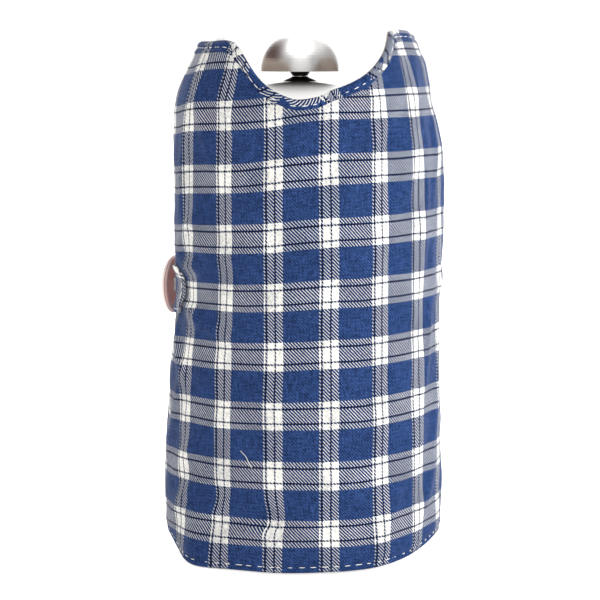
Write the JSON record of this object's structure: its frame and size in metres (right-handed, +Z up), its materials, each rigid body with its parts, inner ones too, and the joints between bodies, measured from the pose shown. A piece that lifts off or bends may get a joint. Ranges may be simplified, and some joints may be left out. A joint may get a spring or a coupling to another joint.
{
  "type": "coffee press with fabric cover",
  "caption": "Glass coffee press in a steel frame, with a plunger that slides through its lid, inside a buttoned plaid cloth cover.",
  "frame": {"origin": "on the plunger rod's axis, at the underside of the base pad, where the press stands", "axes": "+Z up along the plunger rod, +Y towards the handle, -Y the pouring side, +X to the right seen from the pouring side"},
  "size_m": [0.119, 0.1496, 0.2175],
  "materials": {
    "pad_rubber": "moulded, matt",
    "frame_steel": "polished stainless sheet",
    "black_plastic": "moulded black, slightly satin",
    "beaker_glass": "clear heat-proof glass",
    "lid_steel": "polished stainless steel",
    "rod_steel": "polished rod",
    "filter_steel": "pressed stainless sheet",
    "mesh_steel": "fine woven wire mesh",
    "knob_steel": "spun and brushed round the axis",
    "insert_brass": "turned",
    "plaid_cloth": "blue and cream plaid woven cotton",
    "wadding": "needled polyester wadding",
    "lining_cloth": "plain cream cotton",
    "sewing_thread": "off-white sewing thread",
    "button_horn": "brown horn look, polished rim"
  },
  "bodies": {
    "pot": {"base_pad": "pad_rubber", "frame_base": "frame_steel", "frame_uprights": "frame_steel", "frame_band": "frame_steel", "frame_stud": "frame_steel", "handle": "black_plastic", "clamp_bolt": "frame_steel", "clamp_nut": "frame_steel", "handle_pin": "frame_steel", "glass_beaker": "beaker_glass", "cover_outer": "plaid_cloth", "cover_wadding": "wadding", "cover_lining": "lining_cloth", "cover_shoulders": "plaid_cloth", "closure_strap": "plaid_cloth", "hem_thread": "sewing_thread"},
    "bushing": {"lid_bushing": "black_plastic", "bushing_nut": "black_plastic"},
    "lid": {"lid_dome": "lid_steel", "lid_cup": "lid_steel"},
    "plunger": {"plunger_rod": "rod_steel", "rod_collar": "rod_steel", "spiral_plate": "filter_steel", "coil_spring": "filter_steel", "mesh_screen": "mesh_steel", "cross_plate": "filter_steel", "filter_nut": "rod_steel"},
    "knob": {"knob_dome": "knob_steel", "knob_core": "black_plastic", "knob_insert": "insert_brass"},
    "button": {"button": "button_horn", "button_thread": "sewing_thread"}
  },
  "joints": [
    {"name": "lid_lift", "type": "slide", "parent": "pot", "child": "bushing", "axis": [0, 0, 1], "range_m": [0, 0.22], "deforming": ["cover_shoulders"]},
    {"name": "lid_turn", "type": "hinge", "parent": "bushing", "child": "lid", "pos_m": [0, 0, 0.178], "axis": [0, 0, 1], "continuous": true},
    {"name": "plunger_slide", "type": "slide", "parent": "bushing", "child": "plunger", "axis": [0, 0, 1], "range_m": [0, 0.136]},
    {"name": "knob_turn", "type": "hinge", "parent": "plunger", "child": "knob", "pos_m": [0, 0, 0.2], "axis": [0, 0, 1], "continuous": true},
    {"name": "button_turn", "type": "hinge", "parent": "pot", "child": "button", "pos_m": [-0.05249, 0.01991, 0.109], "axis": [-0.9397, 0.342, 0], "range_deg": [-90, 90]}
  ]
}
